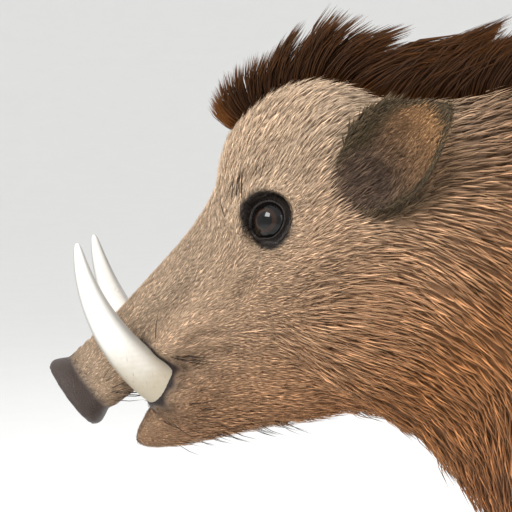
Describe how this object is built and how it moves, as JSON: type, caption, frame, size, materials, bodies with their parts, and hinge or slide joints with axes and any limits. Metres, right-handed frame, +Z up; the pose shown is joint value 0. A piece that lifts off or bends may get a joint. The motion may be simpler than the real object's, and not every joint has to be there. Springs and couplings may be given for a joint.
{
  "type": "wild boar",
  "caption": "Life-size standing wild boar, an old male with raised mane, curved tusks and slightly open mouth, as a still museum model.",
  "frame": {"origin": "on the floor under the middle of the animal's length, on its midline", "axes": "nose towards -Y, the animal's left side towards +X, +Z up"},
  "size_m": [0.3894, 1.519, 0.9566],
  "materials": {
    "coat": "coarse grizzled brown bristle over a dark undercoat, matt",
    "face": "short pale brown hair, greyer over the muzzle, matt",
    "leg": "short near-black hair, matt",
    "mane": "long stiff dark brown bristles with lighter tips, matt",
    "ear": "dark brown hair outside, paler inside, matt",
    "snout": "bare dark grey-brown skin, finely wrinkled, a little moist",
    "hoof": "dark horn, satin",
    "ivory": "ivory, polished towards the tip and stained at the root",
    "eye": "dark brown eye, wet gloss"
  },
  "bodies": {
    "root": {"snout": "snout", "eye_left": "eye", "eye_right": "eye", "tusk_left": "ivory", "tusk_right": "ivory", "ear_left": "ear", "ear_right": "ear", "head": "face", "jaw": "face", "neck": "coat", "trunk": "coat", "mane": "mane", "tail": "mane", "leg_front_left": "leg", "hoof_front_left_outer": "hoof", "dewclaw_front_left_outer": "hoof", "hoof_front_left_inner": "hoof", "dewclaw_front_left_inner": "hoof", "leg_front_right": "leg", "hoof_front_right_outer": "hoof", "dewclaw_front_right_outer": "hoof", "hoof_front_right_inner": "hoof", "dewclaw_front_right_inner": "hoof", "leg_hind_left": "leg", "hoof_hind_left_outer": "hoof", "dewclaw_hind_left_outer": "hoof", "hoof_hind_left_inner": "hoof", "dewclaw_hind_left_inner": "hoof", "leg_hind_right": "leg", "hoof_hind_right_outer": "hoof", "dewclaw_hind_right_outer": "hoof", "hoof_hind_right_inner": "hoof", "dewclaw_hind_right_inner": "hoof"}
  },
  "joints": []
}
